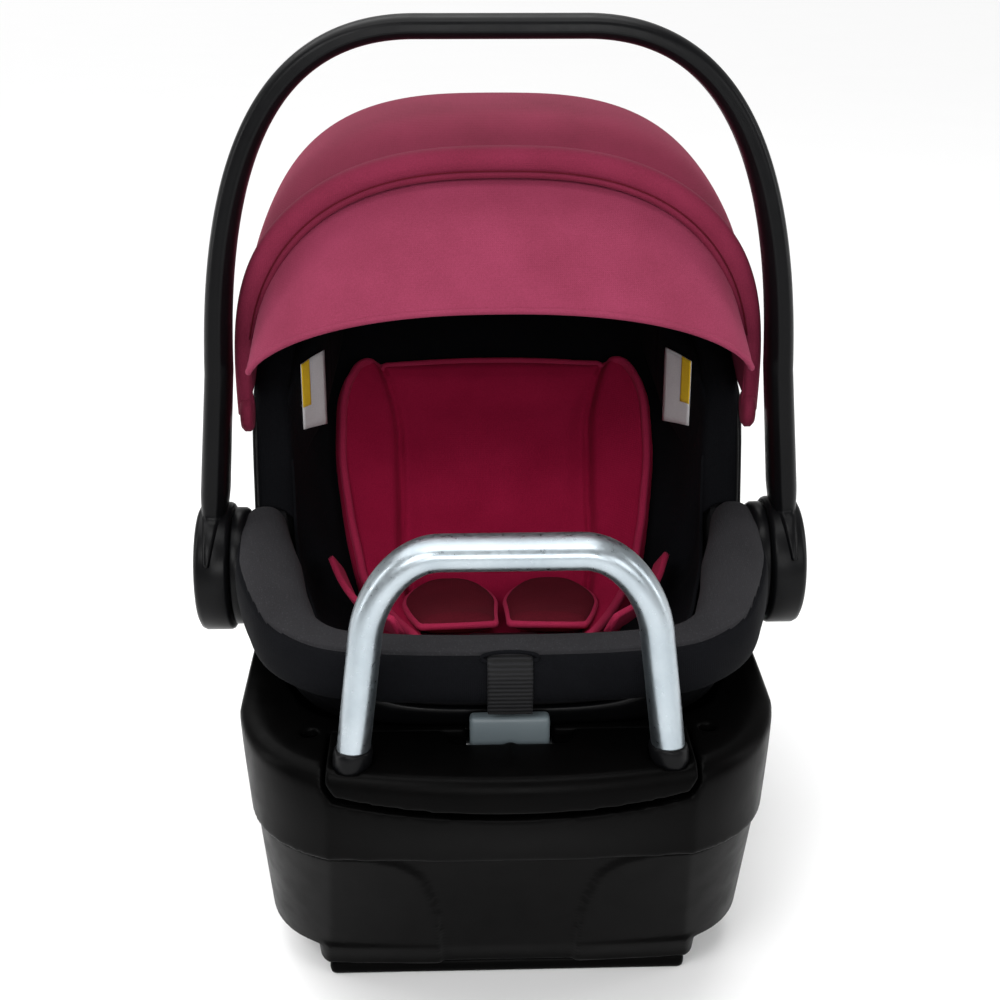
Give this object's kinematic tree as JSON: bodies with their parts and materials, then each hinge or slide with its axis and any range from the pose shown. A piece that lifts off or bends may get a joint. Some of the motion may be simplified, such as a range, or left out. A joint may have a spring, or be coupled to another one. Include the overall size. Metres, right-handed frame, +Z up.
{
  "type": "infant car seat",
  "caption": "Rear-facing infant car seat: padded carrier with carry handle and folding canopy, latched on a base with an anti-rebound bar.",
  "frame": {"origin": "on the floor plane, on the flat underside of the base, straight below the handle pivot axis", "axes": "+Z up, -Y towards the baby's feet and the anti-rebound bar, +X to the right seen from the foot end"},
  "size_m": [0.447, 0.6667, 0.6323],
  "materials": {
    "satin_black": "satin moulded",
    "base_black": "fine grain moulded",
    "grey_plastic": "smooth",
    "red_plastic": "smooth",
    "bare_steel": "satin zinc",
    "dark_steel": "plated",
    "burgundy_fabric": "fine knit",
    "burgundy_dark": "fine knit",
    "black_fabric": "fine knit",
    "webbing": "woven webbing",
    "foam": "expanded foam",
    "patch": "plain satin patch",
    "window": "clear lens"
  },
  "bodies": {
    "base": {"base_tray": "base_black", "base_body": "base_black", "bar_housing": "base_black", "anti_rebound_bar": "bare_steel", "bar_collar_left": "satin_black", "bar_collar_right": "satin_black", "release_spring": "dark_steel", "level_window": "window", "deck_screw_left": "dark_steel", "deck_screw_right": "dark_steel", "anchor_hook_left": "satin_black", "anchor_hook_right": "satin_black", "anchor_belt": "webbing"},
    "release": {"release_button": "grey_plastic", "release_latch": "dark_steel"},
    "recline": {"recline_foot": "base_black"},
    "recline_lever": {"recline_lever": "grey_plastic"},
    "anchor_button_left": {"anchor_button_left": "red_plastic"},
    "anchor_button_right": {"anchor_button_right": "red_plastic"},
    "carrier": {"carrier_shell": "satin_black", "foam_liner": "foam", "seat_cover": "black_fabric", "foot_cover": "black_fabric", "head_cover": "black_fabric", "insert_back": "burgundy_fabric", "insert_wing_left": "burgundy_fabric", "insert_wing_right": "burgundy_fabric", "insert_seat": "burgundy_dark", "shoulder_pad_left": "burgundy_dark", "shoulder_pad_right": "burgundy_dark", "harness_strap_left": "webbing", "harness_strap_right": "webbing", "hip_strap_left": "burgundy_dark", "hip_strap_right": "burgundy_dark", "chest_clip": "satin_black", "buckle": "satin_black", "buckle_tongue_left": "dark_steel", "buckle_tongue_right": "dark_steel", "crotch_strap": "webbing", "adjuster_strap": "webbing", "side_patch_left": "patch", "side_patch_right": "patch", "latch_bar": "dark_steel", "hub_mount_left": "satin_black", "hub_mount_right": "satin_black", "pivot_pin_left": "dark_steel", "pivot_pin_right": "dark_steel", "canopy_rear": "burgundy_fabric", "canopy_pivot_left": "satin_black", "canopy_pivot_right": "satin_black"},
    "shell_release": {"shell_release": "grey_plastic"},
    "buckle_button": {"buckle_button": "red_plastic"},
    "adjuster_lever": {"adjuster_lever": "grey_plastic"},
    "handle": {"handle_bar": "satin_black", "handle_spring_left": "dark_steel", "handle_spring_right": "dark_steel"},
    "handle_button_left": {"handle_button_left": "satin_black"},
    "handle_button_right": {"handle_button_right": "satin_black"},
    "canopy_bow": {"canopy_bow": "burgundy_fabric"},
    "visor": {"canopy_visor": "burgundy_fabric"}
  },
  "joints": [
    {"name": "carrier_lift", "type": "slide", "parent": "base", "child": "carrier", "axis": [0, 0, 1], "range_m": [0, 0.3]},
    {"name": "release_push", "type": "slide", "parent": "base", "child": "release", "axis": [0, 1, 0], "range_m": [0, 0.008], "stiffness_N_per_m": 500, "springref_m": -0.006, "deforming": ["release_spring"]},
    {"name": "recline_extend", "type": "slide", "parent": "base", "child": "recline", "axis": [0, 0, -1], "range_m": [0, 0.03]},
    {"name": "recline_squeeze", "type": "slide", "parent": "base", "child": "recline_lever", "axis": [0, 0, 1], "range_m": [0, 0.008], "stiffness_N_per_m": 300, "springref_m": -0.004},
    {"name": "anchor_press_left", "type": "slide", "parent": "base", "child": "anchor_button_left", "axis": [0, 0, -1], "range_m": [0, 0.003], "stiffness_N_per_m": 300, "springref_m": -0.004},
    {"name": "anchor_press_right", "type": "slide", "parent": "base", "child": "anchor_button_right", "axis": [0, 0, -1], "range_m": [0, 0.003], "stiffness_N_per_m": 300, "springref_m": -0.004},
    {"name": "shell_release_pull", "type": "hinge", "parent": "carrier", "child": "shell_release", "pos_m": [0, 0.378, 0.375], "axis": [1, 0, 0], "range_deg": [0, 12], "stiffness_Nm_per_rad": 2, "springref_deg": -5.73},
    {"name": "buckle_press", "type": "slide", "parent": "carrier", "child": "buckle_button", "axis": [0, 0, -1], "range_m": [0, 0.003], "stiffness_N_per_m": 300, "springref_m": -0.004},
    {"name": "adjuster_press", "type": "slide", "parent": "carrier", "child": "adjuster_lever", "axis": [0, 0, -1], "range_m": [0, 0.004], "stiffness_N_per_m": 300, "springref_m": -0.004},
    {"name": "handle_swing", "type": "hinge", "parent": "carrier", "child": "handle", "pos_m": [0, 0, 0.24], "axis": [1, 0, 0], "range_deg": [-25, 100]},
    {"name": "handle_press_left", "type": "slide", "parent": "handle", "child": "handle_button_left", "axis": [1, 0, 0], "range_m": [0, 0.004], "stiffness_N_per_m": 400, "springref_m": -0.004, "deforming": ["handle_spring_left"]},
    {"name": "handle_press_right", "type": "slide", "parent": "handle", "child": "handle_button_right", "axis": [-1, 0, 0], "range_m": [0, 0.004], "stiffness_N_per_m": 400, "springref_m": -0.004, "deforming": ["handle_spring_right"]},
    {"name": "canopy_fold", "type": "hinge", "parent": "carrier", "child": "canopy_bow", "pos_m": [0, 0.03, 0.35], "axis": [1, 0, 0], "range_deg": [-40, 0]},
    {"name": "visor_fold", "type": "hinge", "parent": "canopy_bow", "child": "visor", "pos_m": [0, 0.03, 0.35], "axis": [1, 0, 0], "range_deg": [-28, 0]}
  ]
}
